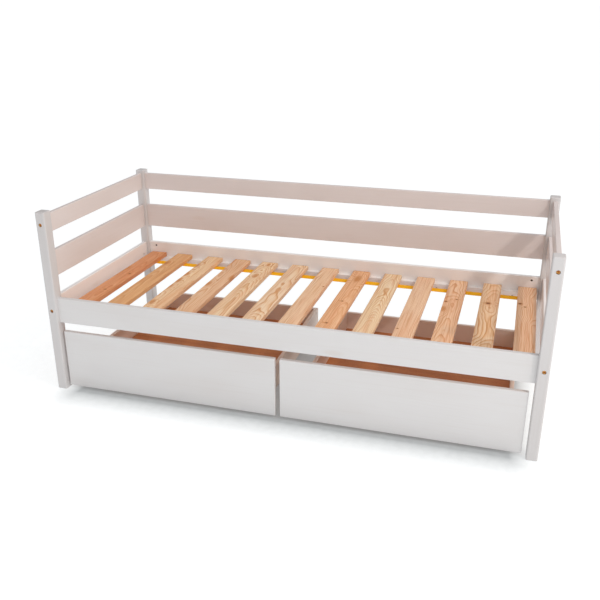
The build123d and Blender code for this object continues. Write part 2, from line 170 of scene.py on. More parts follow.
class DayBedStudio(bpy.types.PropertyGroup):
    key_power: bpy.props.FloatProperty(
        name="Key light", description="Soft box at the right, above the front", default=24.0, unit="POWER")
    fill_power: bpy.props.FloatProperty(
        name="Fill light", description="Large soft box low at the right front", default=9.0, unit="POWER")
    horizon: bpy.props.FloatProperty(
        name="Horizon", description="Brightness of the studio's walls", default=0.26, min=0.0)
    ceiling: bpy.props.FloatProperty(
        name="Ceiling", description="Brightness of the studio's ceiling", default=0.94, min=0.0)
    # The sweep's glow is painted light; cutting it back near the bed paints the shadow at its foot.
    paper_glow: bpy.props.FloatProperty(
        name="Paper glow", description="Light that the sweep gives off by itself", default=0.75, min=0.0)
    painted_shadow_width: length("Shadow width", "From the bed's foot to where the sweep glows fully", 0.13)
    painted_shadow_inset: length("Shadow inset", "How far in from the bed's ends the sweep starts to glow", 0.1)
    focal_length: bpy.props.FloatProperty(
        name="Focal length", description="Of the studio camera, in millimetres", default=45.25,
        subtype="DISTANCE_CAMERA")


# ---------------------------------------------------------------- helpers


def rgba(shade):
    """Linear RGBA, from an sRGB hex colour or from one of the colour settings."""
    return linear(shade) if isinstance(shade, str) else [*shade, 1.0]


def add(tree, kind, sockets=None, stops=(), **settings):
    """Adds a node to a tree, with its settings, a ramp's stops, and its sockets' links or values."""
    node = tree.nodes.new(kind)
    for name, value in settings.items():
        setattr(node, name, value)
    for number, (place, shade) in enumerate(stops):
        elements = node.color_ramp.elements
        element = elements[number] if number < len(elements) else elements.new(place)
        element.position, element.color = place, rgba(shade)
    for key, value in (sockets or {}).items():
        if isinstance(value, bpy.types.NodeSocket):
            tree.links.new(value, node.inputs[key])
        else:
            node.inputs[key].default_value = value
    return node


def new_material(name):
    """An empty material and its node tree."""
    material = bpy.data.materials.new(name)
    material.use_nodes = True
    material.node_tree.nodes.clear()
    return material, material.node_tree


def surface(tree, colour_socket, bump_height=None, bump_depth=0.0, **constants):
    """Ends a material: principled shader, bump where a height is given, and constants on the
    shader's own sockets."""
    sockets = {"Base Color": colour_socket}
    sockets.update({name.replace("_", " "): value for name, value in constants.items()})
    if bump_height is not None:
        bump = add(tree, "ShaderNodeBump", {"Height": bump_height, "Distance": bump_depth, "Strength": 1.0})
        sockets["Normal"] = bump.outputs[0]
    shader = add(tree, "ShaderNodeBsdfPrincipled", sockets)
    add(tree, "ShaderNodeOutputMaterial", {0: shader.outputs[0]})


def stretched(tree, per_metre, offset=(0.0, 0.0, 0.0)):
    """Object coordinates, scaled per axis so that a noise of scale 1 has that many cells per metre."""
    place = add(tree, "ShaderNodeTexCoord").outputs["Object"]
    return add(tree, "ShaderNodeMapping", {0: place, "Location": offset, "Scale": per_metre}).outputs[0]


def along_axis(axis, along, across):
    """Cells per metre for a pattern that runs along one axis."""
    return [along if i == "XYZ".index(axis) else across for i in range(3)]


# ---------------------------------------------------------------- materials


def white_lacquered_pine(name, axis, shade):
    """Satin water-based lacquer, sprayed on planed pine: an even soft white with a low sheen,
    under which the grain stands up in faint long ridges and old knots ghost through a little warmer."""
    material, tree = new_material(f"{name}_along_{axis.lower()}")
    # Late-wood ridges lie 2 to 4 mm apart: drawn about 8 mm apart, so that they still show at a distance.
    ridges = add(tree, "ShaderNodeTexNoise", {"Vector": stretched(tree, along_axis(axis, 2.5, 125.0)),
                                              "Scale": 1.0, "Detail": 3.0, "Roughness": 0.55})
    # Spray leaves a fine orange peel, cells of about 3 mm.
    peel = add(tree, "ShaderNodeTexNoise", {"Vector": stretched(tree, (320.0,) * 3), "Scale": 1.0,
                                            "Detail": 1.0})
    # Boards differ slightly in whiteness over a hand's breadth.
    patches = stretched(tree, along_axis(axis, 2.2, 7.0), (3.1, 7.7, 1.3))
    cloud = add(tree, "ShaderNodeTexNoise", {"Vector": patches, "Scale": 1.0, "Detail": 2.0})
    tint = add(tree, "ShaderNodeValToRGB", {0: ridges.outputs[0]},
               [(0.32, "#F6F2EF"), (0.5, "#FFFFFF"), (0.7, "#FCFAF9")]).outputs[0]
    clouds = add(tree, "ShaderNodeValToRGB", {0: cloud.outputs[0]},
                 [(0.3, "#F8F5F3"), (0.55, "#FFFFFF"), (0.75, "#FBFAFA")]).outputs[0]
    knots = add(tree, "ShaderNodeTexVoronoi", {"Vector": stretched(tree, along_axis(axis, 2.6, 9.0)),
                                               "Scale": 1.0})
    ghosts = add(tree, "ShaderNodeValToRGB", {0: knots.outputs[0]},
                 [(0.0, "#F0E2D4"), (0.07, "#F6EDE5"), (0.13, "#FFFFFF")]).outputs[0]
    white = rgba(shade)
    for layer, share in ((tint, 0.2), (clouds, 0.5), (ghosts, 0.3)):
        white = add(tree, "ShaderNodeMix", {0: share, 6: white, 7: layer}, data_type="RGBA",
                    blend_type="MULTIPLY").outputs[2]
    height = add(tree, "ShaderNodeMath", {0: peel.outputs[0], 1: 0.25, 2: ridges.outputs[0]},
                 operation="MULTIPLY_ADD")
    sheen = add(tree, "ShaderNodeMapRange", {0: cloud.outputs[0], 1: 0.3, 2: 0.7, 3: 0.36, 4: 0.46})
    surface(tree, white, height.outputs[0], 0.06 * MM, Roughness=sheen.outputs[0], IOR=1.48)
    return material


def planed_pine(name, colours, slat_figure):
    """Pine planed and left bare: honey to pink, dull, with the growth rings of the log cut into arches
    or stripes, each ring pale and then suddenly brown, and brown knots that the rings flow round."""
    material, tree = new_material(name)
    place = add(tree, "ShaderNodeSeparateXYZ", {0: add(tree, "ShaderNodeTexCoord").outputs["Object"]}).outputs
    if slat_figure:
        across_axis, along = place["X"], place["Y"]
        tint = add(tree, "ShaderNodeAttribute", attribute_name="slat_tint").outputs["Color"]
    else:
        across_axis, along = place["Y"], place["X"]
        tint = rgba("#FFF1DE")
    middle = add(tree, "ShaderNodeAttribute", attribute_name="slat_middle").outputs["Fac"]
    heart = add(tree, "ShaderNodeAttribute", attribute_name="slat_heart").outputs["Vector"]
    heart = add(tree, "ShaderNodeSeparateXYZ", {0: heart}).outputs
    across = add(tree, "ShaderNodeMath", {0: across_axis, 1: middle}, operation="SUBTRACT").outputs[0]
    down = add(tree, "ShaderNodeMath", {0: place["Z"], 1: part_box("slat_07")[1].z},
               operation="SUBTRACT").outputs[0]

    # The log isn't straight: its heart wanders over a few hand's breadths of length, differently in
    # each board.
    spot = add(tree, "ShaderNodeCombineXYZ", {0: across, 1: along, 2: down}).outputs[0]
    seed = add(tree, "ShaderNodeMath", {0: middle, 1: 11.0}, operation="MULTIPLY").outputs[0]
    slow = add(tree, "ShaderNodeMapping", {0: spot, "Scale": (9.0, 3.2, 9.0)}).outputs[0]
    wander = add(tree, "ShaderNodeTexNoise", {"Vector": slow, "W": seed, "Scale": 1.0, "Detail": 2.0,
                                              "Roughness": 0.45}, noise_dimensions="4D").outputs
    drift = add(tree, "ShaderNodeMath", {0: wander[0], 1: 44.0 * MM, 2: -22.0 * MM},
                operation="MULTIPLY_ADD").outputs[0]
    side = add(tree, "ShaderNodeMath", {0: across, 1: heart["X"]}, operation="SUBTRACT").outputs[0]
    tilt = add(tree, "ShaderNodeMath", {0: along, 1: heart["Z"], 2: drift},
               operation="MULTIPLY_ADD").outputs[0]
    depth = add(tree, "ShaderNodeMath", {0: down, 1: heart["Y"]}, operation="ADD").outputs[0]
    depth = add(tree, "ShaderNodeMath", {0: depth, 1: tilt}, operation="ADD").outputs[0]
    from_heart = add(tree, "ShaderNodeCombineXYZ", {0: side, 1: depth}).outputs[0]
    radius = add(tree, "ShaderNodeVectorMath", {0: from_heart}, operation="LENGTH").outputs["Value"]

    # Each knot pushes the rings aside and darkens them. A stain has no dark core, and is drawn out along
    # the grain.
    dark, halo = 0.0, 0.0
    flat_spot = add(tree, "ShaderNodeCombineXYZ", {0: across, 1: along}).outputs[0]
    for number in range(KNOTS_PER_SLAT if slat_figure else 0):
        knot = add(tree, "ShaderNodeAttribute", attribute_name=f"slat_knot_{number}").outputs["Vector"]
        knot = add(tree, "ShaderNodeSeparateXYZ", {0: knot}).outputs
        sign = add(tree, "ShaderNodeMath", {0: knot["Z"]}, operation="SIGN").outputs[0]
        is_knot = add(tree, "ShaderNodeMapRange", {0: sign, 1: -1.0, 2: 1.0, 3: 0.0, 4: 1.0}).outputs[0]
        squash = add(tree, "ShaderNodeMapRange", {0: is_knot, 3: 0.4, 4: 0.95}).outputs[0]
        centre = add(tree, "ShaderNodeCombineXYZ", {0: knot["X"], 1: knot["Y"]}).outputs[0]
        offset = add(tree, "ShaderNodeVectorMath", {0: flat_spot, 1: centre}, operation="SUBTRACT").outputs[0]
        scale = add(tree, "ShaderNodeCombineXYZ", {0: 1.0, 1: squash}).outputs[0]
        offset = add(tree, "ShaderNodeVectorMath", {0: offset, 1: scale}, operation="MULTIPLY").outputs[0]
        away = add(tree, "ShaderNodeVectorMath", {0: offset}, operation="LENGTH").outputs["Value"]
        size = add(tree, "ShaderNodeMath", {0: knot["Z"]}, operation="ABSOLUTE").outputs[0]
        size = add(tree, "ShaderNodeMath", {0: size, 1: 0.01 * MM}, operation="MAXIMUM").outputs[0]
        away = add(tree, "ShaderNodeMath", {0: away, 1: size}, operation="DIVIDE").outputs[0]
        push = add(tree, "ShaderNodeMapRange", {0: away, 1: 0.0, 2: 4.5, 3: 1.5, 4: 0.0},
                   interpolation_type="SMOOTHERSTEP").outputs[0]
        radius = add(tree, "ShaderNodeMath", {0: push, 1: size, 2: radius},
                     operation="MULTIPLY_ADD").outputs[0]
        core = add(tree, "ShaderNodeMapRange", {0: away, 1: 0.45, 2: 0.95, 3: is_knot, 4: 0.0},
                   interpolation_type="SMOOTHSTEP").outputs[0]
        ring = add(tree, "ShaderNodeMapRange", {0: away, 1: 0.5, 2: 2.1, 3: 1.0, 4: 0.0},
                   interpolation_type="SMOOTHSTEP").outputs[0]
        dark = add(tree, "ShaderNodeMath", {0: dark, 1: core}, operation="MAXIMUM").outputs[0]
        halo = add(tree, "ShaderNodeMath", {0: halo, 1: ring}, operation="MAXIMUM").outputs[0]

    # Rings of this pine are 2 to 4 mm wide: drawn 3.9 mm wide, so that they still show at a distance.
    phase = add(tree, "ShaderNodeMath", {0: radius, 1: 3.9 * MM}, operation="DIVIDE").outputs[0]
    phase = add(tree, "ShaderNodeMath", {0: phase}, operation="FRACT").outputs[0]
    rings = add(tree, "ShaderNodeValToRGB", {0: phase}, [
        (0.0, colours.early_wood), (0.45, "#F9E2C6"), (0.72, "#EFCBA2"),
        (0.88, colours.late_wood), (0.95, "#F2D3AE"), (1.0, colours.early_wood)]).outputs[0]
    # Some stretches of a board show strong rings, others fainter ones.
    strong = add(tree, "ShaderNodeMapRange", {0: wander[0], 1: 0.35, 2: 0.65, 3: 0.45, 4: 1.0}).outputs[0]
    wood = add(tree, "ShaderNodeMix", {0: strong, 6: rgba("#F6DCBF"), 7: rings}, data_type="RGBA").outputs[2]

    # Fibres and resin streaks, along the board. Fibres are hair-fine: drawn 3 to 4 mm wide, so that
    # they show.
    fine = add(tree, "ShaderNodeMapping", {0: spot, "Scale": (280.0, 5.0, 280.0)}).outputs[0]
    fibres = add(tree, "ShaderNodeTexNoise", {"Vector": fine, "W": seed, "Scale": 1.0, "Detail": 2.0},
                 noise_dimensions="4D").outputs[0]
    broad = add(tree, "ShaderNodeMapping", {0: spot, "Scale": (38.0, 2.6, 38.0)}).outputs[0]
    streaks = add(tree, "ShaderNodeTexNoise", {"Vector": broad, "W": seed, "Scale": 1.0, "Detail": 3.0},
                  noise_dimensions="4D").outputs[0]
    fibres_tint = add(tree, "ShaderNodeValToRGB", {0: fibres}, [(0.36, "#DDBB96"), (0.52, "#FFFFFF")])
    streaks_tint = add(tree, "ShaderNodeValToRGB", {0: streaks},
                       [(0.3, "#F3CDB0"), (0.5, "#FFFFFF"), (0.72, "#FFF8EC")])
    layers = ((fibres_tint.outputs[0], 0.6), (streaks_tint.outputs[0], 0.5), (tint, 1.0))
    for layer, share in layers:
        wood = add(tree, "ShaderNodeMix", {0: share, 6: wood, 7: layer}, data_type="RGBA",
                   blend_type="MULTIPLY").outputs[2]
    if slat_figure:
        warm = add(tree, "ShaderNodeMath", {0: halo, 1: 0.85}, operation="MULTIPLY").outputs[0]
        wood = add(tree, "ShaderNodeMix", {0: warm, 6: wood, 7: rgba(colours.stain)},
                   data_type="RGBA").outputs[2]
        wood = add(tree, "ShaderNodeMix", {0: dark, 6: wood, 7: rgba(colours.knot)},
                   data_type="RGBA").outputs[2]
    height = add(tree, "ShaderNodeMath", {0: fibres, 1: 0.5, 2: phase}, operation="MULTIPLY_ADD").outputs[0]
    surface(tree, wood, height, 0.12 * MM, Roughness=0.58, IOR=1.5, Specular_IOR_Level=0.35)
    return material


def yellow_webbing(colours):
    """Woven polyester webbing: strong yellow, matt, ribbed across by the weft, with firmer edges."""
    material, tree = new_material("yellow_webbing")
    # A real weft thread is 1.2 mm wide: drawn 2 mm wide, so that the ribs still show.
    weft = add(tree, "ShaderNodeTexWave", {"Vector": stretched(tree, (160.0, 0.0, 0.0)), "Scale": 1.0},
               bands_direction="X").outputs["Fac"]
    warp = add(tree, "ShaderNodeTexWave", {"Vector": stretched(tree, (0.0, 210.0, 0.0)), "Scale": 1.0},
               bands_direction="Y").outputs["Fac"]
    weave = add(tree, "ShaderNodeMath", {0: weft, 1: warp}, operation="MULTIPLY").outputs[0]
    shade = add(tree, "ShaderNodeValToRGB", {0: weave},
                [(0.0, "#FFB200"), (0.5, colours.webbing), (1.0, "#FFD23A")]).outputs[0]
    surface(tree, shade, weave, 0.3 * MM, Roughness=0.7, IOR=1.5, Specular_IOR_Level=0.2)
    return material


def pressed_hardboard(colours):
    """Smooth-faced hardboard, pressed from wood fibre: reddish brown, slightly glossy, with fine
    specks and long faint streaks."""
    material, tree = new_material("pressed_hardboard")
    # Fibres are under a millimetre: drawn about 4 mm, so that the specks show.
    specks = add(tree, "ShaderNodeTexNoise", {"Vector": stretched(tree, (240.0,) * 3), "Scale": 1.0,
                                              "Detail": 2.0}).outputs[0]
    streaks = add(tree, "ShaderNodeTexNoise", {"Vector": stretched(tree, (3.0, 42.0, 42.0)), "Scale": 1.0,
                                               "Detail": 4.0}).outputs[0]
    shade = add(tree, "ShaderNodeValToRGB", {0: streaks},
                [(0.3, "#BC7848"), (0.5, colours.hardboard), (0.7, "#D2925F")]).outputs[0]
    fleck = add(tree, "ShaderNodeValToRGB", {0: specks}, [(0.35, "#D8C2B2"), (0.55, "#FFFFFF")]).outputs[0]
    brown = add(tree, "ShaderNodeMix", {0: 0.5, 6: shade, 7: fleck}, data_type="RGBA", blend_type="MULTIPLY")
    surface(tree, brown.outputs[2], specks, 0.1 * MM, Roughness=0.45, IOR=1.5)
    return material


def plated_steel(name, middle, second, third, roughness):
    """Zinc-plated steel, barrel-plated: a satin or dull metal whose passivated film clouds from one tint to
    the next."""
    material, tree = new_material(name)
    # The film's clouds are a few millimetres wide, like the parts themselves.
    film = add(tree, "ShaderNodeTexNoise", {"Vector": stretched(tree, (150.0,) * 3), "Scale": 1.0,
                                            "Detail": 3.0}).outputs[0]
    shade = add(tree, "ShaderNodeValToRGB", {0: film},
                [(0.3, second), (0.5, middle), (0.7, third)]).outputs[0]
    surface(tree, shade, film, 0.03 * MM, Roughness=roughness, Metallic=1.0)
    return material


def fluted_beech(colours):
    """Beech turned into dowels: pinkish tan with short darker pore flecks along the rod."""
    material, tree = new_material("fluted_beech")
    flecks = add(tree, "ShaderNodeTexNoise", {"Vector": stretched(tree, (500.0, 60.0, 500.0)), "Scale": 1.0,
                                              "Detail": 2.0}).outputs[0]
    shade = add(tree, "ShaderNodeValToRGB", {0: flecks}, [(0.35, "#A87C52"), (0.5, colours.beech)]).outputs[0]
    surface(tree, shade, flecks, 0.2 * MM, Roughness=0.6, IOR=1.5)
    return material


def moulded_nylon(colours):
    """Black nylon, injection-moulded: even and matt, with a fine spark-eroded texture and light scuffs."""
    material, tree = new_material("moulded_nylon")
    texture = stretched(tree, (900.0,) * 3)
    grain = add(tree, "ShaderNodeTexNoise", {"Vector": texture, "Scale": 1.0}).outputs[0]
    scuffs = add(tree, "ShaderNodeTexNoise", {"Vector": stretched(tree, (60.0,) * 3), "Scale": 1.0,
                                              "Detail": 4.0}).outputs[0]
    shade = add(tree, "ShaderNodeValToRGB", {0: scuffs},
                [(0.45, colours.nylon), (0.75, "#4A4A4E")]).outputs[0]
    surface(tree, shade, grain, 0.1 * MM, Roughness=0.55, IOR=1.53)
    return material


def paper_sweep(colours, studio):
    """Matt seamless paper with a barely visible tooth, kept white by a painted glow of its own. Near the bed
    the glow is cut back, which paints a soft grey shadow at the bed's foot that is gone a hand's width out."""
    material, tree = new_material("paper_sweep")
    tooth = add(tree, "ShaderNodeTexNoise", {"Vector": stretched(tree, (30.0,) * 3), "Scale": 1.0}).outputs[0]
    shade = add(tree, "ShaderNodeValToRGB", {0: tooth}, [(0.4, "#9CA2A4"), (0.6, colours.paper)]).outputs[0]
    place = add(tree, "ShaderNodeTexCoord").outputs["Object"]
    place = add(tree, "ShaderNodeVectorMath", {0: place}, operation="ABSOLUTE").outputs[0]
    corner = (CAD_BOX[1][0] - studio.painted_shadow_inset, CAD_BOX[1][1], 0.0)
    outside = add(tree, "ShaderNodeVectorMath", {0: place, 1: corner}, operation="SUBTRACT").outputs[0]
    outside = add(tree, "ShaderNodeVectorMath", {0: outside, 1: (0.0, 0.0, 0.0)},
                  operation="MAXIMUM").outputs[0]
    # The painted shadow reaches further to the front than to the sides.
    outside = add(tree, "ShaderNodeVectorMath", {0: outside, 1: (1.3, 1.0, 0.0)},
                  operation="MULTIPLY").outputs[0]
    away = add(tree, "ShaderNodeVectorMath", {0: outside}, operation="LENGTH").outputs["Value"]
    # The painted shadow lightens fast at first, and isn't quite black even under the bed.
    out = add(tree, "ShaderNodeMapRange", {0: away, 1: 0.0, 2: studio.painted_shadow_width, 3: 0.06}).outputs[0]
    out = add(tree, "ShaderNodeMath", {0: out, 1: 0.5}, operation="POWER").outputs[0]
    glow_cut_for_painted_shadow = add(tree, "ShaderNodeMath", {0: out, 1: studio.paper_glow}, operation="MULTIPLY").outputs[0]
    surface(tree, shade, Roughness=0.9, Specular_IOR_Level=0.1,
            Emission_Color=(1.0, 1.0, 1.0, 1.0), Emission_Strength=glow_cut_for_painted_shadow)
    return material


def dress(material, names):
    """Gives CAD nodes a material."""
    for name in names:
        for material_slot in NODES[name].material_slots:
            material_slot.material = material


# ---------------------------------------------------------------- geometry trees


def new_tree(name, sizes):
    """A geometry tree with a geometry input and output and one named float input for each size."""
    tree = bpy.data.node_groups.new(name, "GeometryNodeTree")
    tree.interface.new_socket("Geometry", in_out="INPUT", socket_type="NodeSocketGeometry")
    identifiers = {}
    for size in sizes:
        socket = tree.interface.new_socket(size, in_out="INPUT", socket_type="NodeSocketFloat")
        identifiers[size] = socket.identifier
    tree.interface.new_socket("Geometry", in_out="OUTPUT", socket_type="NodeSocketGeometry")
    return tree, add(tree, "NodeGroupInput").outputs, identifiers


def end_tree(tree, geometry, material):
    """Ends a tree with real geometry and its material."""
    real = add(tree, "GeometryNodeRealizeInstances", {0: geometry}).outputs[0]
    done = add(tree, "GeometryNodeSetMaterial", {0: real, "Material": material}).outputs[0]
    add(tree, "NodeGroupOutput", {0: done})


def host_mesh(name, points, edges=()):
    """An object of bare points, and edges between them, for a tree to build on."""
    mesh = bpy.data.meshes.new(name)
    mesh.from_pydata([tuple(p) for p in points], list(edges), [])
    host = bpy.data.objects.new(name, mesh)
    bpy.context.scene.collection.objects.link(host)
    return host


def store(host, name, kind, values):
    """Writes one value per point on a host."""
    attribute = host.data.attributes.new(name, kind, "POINT")
    field = {"FLOAT": "value", "FLOAT_VECTOR": "vector", "FLOAT_COLOR": "color"}[kind]
    flat = [x for v in values for x in (v if hasattr(v, "__len__") else [v])]
    attribute.data.foreach_set(field, flat)


def grow(host, tree, identifiers, sizes, body, slot, *nodes):
    """Runs a tree on its host, and leaves a plain mesh of the same name, riding on a body for its nodes."""
    modifier = host.modifiers.new("tree", "NODES")
    modifier.node_group = tree
    for size, value in sizes.items():
        modifier[identifiers[size]] = value
    evaluated = host.evaluated_get(bpy.context.evaluated_depsgraph_get())
    mesh = bpy.data.meshes.new_from_object(evaluated)
    name = host.name
    host.modifiers.remove(modifier)
    bpy.data.objects.remove(host)
    piece = bpy.data.objects.new(name, mesh)
    mesh.name = name
    bpy.context.scene.collection.objects.link(piece)
    mesh.shade_smooth()
    mesh.set_sharp_from_angle(angle=math.radians(35))
    if nodes:
        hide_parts(*nodes)
    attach(piece, body)
    return piece


def swept_bar(tree, curve, width, thickness, arris):
    """A bar of rounded rectangular section along a curve."""
    outline = add(tree, "GeometryNodeCurvePrimitiveQuadrilateral", {0: width, 1: thickness}).outputs[0]
    section = add(tree, "GeometryNodeFilletCurve", {0: outline, "Radius": arris, "Count": 3},
                  mode="POLY").outputs[0]
    return add(tree, "GeometryNodeCurveToMesh", {0: curve, 1: section, "Fill Caps": True}).outputs[0]


def slat_tree(material):
    """Instances a planed slat with rounded long edges on each point."""
    names = ("Width", "Length", "Thickness", "Arris")
    tree, inputs, identifiers = new_tree("slats", names)
    half = add(tree, "ShaderNodeMath", {0: inputs["Length"], 1: 0.5}, operation="MULTIPLY").outputs[0]
    back = add(tree, "ShaderNodeMath", {0: half, 1: -1.0}, operation="MULTIPLY").outputs[0]
    start = add(tree, "ShaderNodeCombineXYZ", {1: back}).outputs[0]
    end = add(tree, "ShaderNodeCombineXYZ", {1: half}).outputs[0]
    line = add(tree, "GeometryNodeCurvePrimitiveLine", {0: start, 1: end}).outputs[0]
    upright = add(tree, "GeometryNodeSetCurveNormal", {0: line}, mode="Z_UP").outputs[0]
    slat = swept_bar(tree, upright, inputs["Width"], inputs["Thickness"], inputs["Arris"])
    placed = add(tree, "GeometryNodeInstanceOnPoints", {0: inputs["Geometry"], "Instance": slat}).outputs[0]
    end_tree(tree, placed, material)
    return tree, identifiers


def tape_tree(material):
    """Sweeps flat webbing along the host's edges."""
    tree, inputs, identifiers = new_tree("webbing", ("Width", "Thickness"))
    path = add(tree, "GeometryNodeMeshToCurve", {0: inputs["Geometry"]}).outputs[0]
    upright = add(tree, "GeometryNodeSetCurveNormal", {0: path}, mode="Z_UP").outputs[0]
    edge = add(tree, "ShaderNodeMath", {0: inputs["Thickness"], 1: 0.4}, operation="MULTIPLY").outputs[0]
    tape = swept_bar(tree, upright, inputs["Width"], inputs["Thickness"], edge)
    end_tree(tree, tape, material)
    return tree, identifiers


def staple_tree(material):
    """Instances a wire staple on each point, its crown across the tape and its legs up in the slat."""
    tree, inputs, identifiers = new_tree("staples", ("Crown", "Leg", "Wire"))
    legs = add(tree, "GeometryNodeCurvePrimitiveQuadrilateral",
               {0: inputs["Crown"], 1: inputs["Leg"]}).outputs[0]
    bent = add(tree, "GeometryNodeFilletCurve", {0: legs, "Radius": inputs["Wire"], "Count": 3},
               mode="POLY").outputs[0]
    radius = add(tree, "ShaderNodeMath", {0: inputs["Wire"], 1: 0.5}, operation="MULTIPLY").outputs[0]
    wire = add(tree, "GeometryNodeCurvePrimitiveCircle", {"Resolution": 6, "Radius": radius}).outputs[0]
    shape = add(tree, "GeometryNodeCurveToMesh", {0: bent, 1: wire}).outputs[0]
    placed = add(tree, "GeometryNodeInstanceOnPoints", {
        0: inputs["Geometry"], "Instance": shape, "Rotation": (math.pi / 2, 0.0, math.pi / 2)}).outputs[0]
    end_tree(tree, placed, material)
    return tree, identifiers


def screw_tree(material):
    """Instances a countersunk cross-head screw on each point, pointing the way the point says."""
    tree, inputs, identifiers = new_tree("screws", ("Head", "Shank", "Length", "Recess"))
    head, shank, recess = (inputs[name] for name in ("Head", "Shank", "Recess"))
    half = [add(tree, "ShaderNodeMath", {0: size, 1: 0.5}, operation="MULTIPLY").outputs[0]
            for size in (head, shank)]
    rise = add(tree, "ShaderNodeMath", {0: half[0], 1: half[1]}, operation="SUBTRACT").outputs[0]
    cone = add(tree, "GeometryNodeMeshCone", {"Vertices": 16, "Radius Top": half[1], "Radius Bottom": half[0],
                                              "Depth": rise}).outputs[0]
    arm = add(tree, "ShaderNodeMath", {0: head, 1: 0.62}, operation="MULTIPLY").outputs[0]
    wing = add(tree, "ShaderNodeMath", {0: head, 1: 0.14}, operation="MULTIPLY").outputs[0]
    twice = add(tree, "ShaderNodeMath", {0: recess, 1: 2.0}, operation="MULTIPLY").outputs[0]
    cuts = []
    for sizes in ((arm, wing, twice), (wing, arm, twice)):
        box = add(tree, "ShaderNodeCombineXYZ", dict(enumerate(sizes))).outputs[0]
        cuts.append(add(tree, "GeometryNodeMeshCube", {0: box}).outputs[0])
    cut = add(tree, "GeometryNodeMeshBoolean", {0: cone}, operation="DIFFERENCE", solver="EXACT")
    for box in cuts:
        tree.links.new(box, cut.inputs["Mesh 2"])
    body = add(tree, "GeometryNodeMeshCone", {"Vertices": 8, "Radius Top": 0.2 * MM, "Radius Bottom": half[1],
                                              "Depth": inputs["Length"]}).outputs[0]
    lower = add(tree, "ShaderNodeCombineXYZ", {2: rise}).outputs[0]
    body = add(tree, "GeometryNodeTransform", {0: body, "Translation": lower}).outputs[0]
    joined = add(tree, "GeometryNodeJoinGeometry")
    for part in (body, cut.outputs[0]):
        tree.links.new(part, joined.inputs[0])
    way = add(tree, "GeometryNodeInputNamedAttribute", {0: "way"}, data_type="FLOAT_VECTOR").outputs[0]
    turn = add(tree, "FunctionNodeAlignRotationToVector", {"Vector": way}, axis="Z").outputs[0]
    placed = add(tree, "GeometryNodeInstanceOnPoints", {
        0: inputs["Geometry"], "Instance": joined.outputs[0], "Rotation": turn}).outputs[0]
    end_tree(tree, placed, material)
    return tree, identifiers


def screw_places(name):
    """The middle of each screw head of a CAD node and the way the screw points, into the wood."""
    shell = bmesh.new()
    shell.from_mesh(NODES[name].data)
    bmesh.ops.remove_doubles(shell, verts=shell.verts, dist=0.01 * MM)
    left, found = set(shell.verts), []
    while left:
        island, edge = [], [left.pop()]
        while edge:
            vertex = edge.pop()
            island.append(vertex.co.copy())
            near = {e.other_vert(vertex) for e in vertex.link_edges} & left
            left -= near
            edge.extend(near)
        low, high = (Vector([pick(p[i] for p in island) for i in range(3)]) for pick in (min, max))
        middle, span = (low + high) / 2, high - low
        axis = max(range(3), key=lambda i: span[i])
        wide = max(island, key=lambda p: (p - middle).length_squared - (p[axis] - middle[axis]) ** 2)
        sign = 1 if wide[axis] > middle[axis] else -1
        head, way = middle.copy(), Vector((0.0, 0.0, 0.0))
        head[axis] = high[axis] if sign > 0 else low[axis]
        way[axis] = -sign
        found.append((head, way))
    shell.free()
    return sorted(found, key=lambda f: tuple(round(x, 4) for x in f[0]))


# ---------------------------------------------------------------- operators


class DAYBED_OT_lacquered_frame(bpy.types.Operator):
    """Lacquers the posts, rails, ledgers and drawer boards white"""
    bl_idname = "daybed.lacquered_frame"
    bl_label = "Lacquered frame"

    def execute(self, context):
        colours = context.scene.day_bed_colours
        for name, shade, axis, boards in (
                ("white_lacquered_pine", colours.front_lacquer, "X", FRONT_BOARDS),
                ("white_lacquered_pine", colours.post_lacquer, "Z", POSTS),
                # The back and end rails get a warmer white: painted bounce light from the slats.
                ("lacquered_pine_painted_warm", colours.rail_lacquer, "X", BACK_BOARDS),
                ("lacquered_pine_painted_warm", colours.rail_lacquer, "Y", END_RAILS),
                # The low rails get a whiter white: painted light that lifts the slats' shade on them.
                ("low_lacquered_pine_painted_light", colours.low_rail_lacquer, "X", BACK_LOW_BOARDS),
                ("low_lacquered_pine_painted_light", colours.low_rail_lacquer, "Y", END_LOW_RAILS),
                ("pinkish_white_lacquered_pine", colours.box_lacquer, "X", BOX_ENDS),
                ("pinkish_white_lacquered_pine", colours.box_lacquer, "Y", BOX_SIDES)):
            dress(white_lacquered_pine(name, axis, shade), boards)
        return {"FINISHED"}


class DAYBED_OT_hardware(bpy.types.Operator):
    """Finishes the bolts, barrel nuts, dowels, castors, battens and drawer bottoms"""
    bl_idname = "daybed.hardware"
    bl_label = "Hardware"

    def execute(self, context):
        colours = context.scene.day_bed_colours
        dress(plated_steel("yellow_zinc_steel", colours.yellow_zinc, "#8A4A30", "#E0B860", 0.32),
              ["frame_bolts"])
        dress(plated_steel("dark_zinc_steel", colours.dark_zinc, "#3C3430", "#776A62", 0.5), ["barrel_nuts"])
        dress(plated_steel("clear_zinc_steel", colours.clear_zinc, "#A9ACB2", "#D8D9DC", 0.38),
              [f"{drawer}_castor_forks" for drawer in DRAWERS])
        dress(fluted_beech(colours), ["frame_dowels"])
        dress(moulded_nylon(colours), WHEELS)
        dress(planed_pine("planed_pine_batten", colours, False), [f"{drawer}_battens" for drawer in DRAWERS])
        dress(pressed_hardboard(colours), [f"{drawer}_bottom" for drawer in DRAWERS])
        return {"FINISHED"}


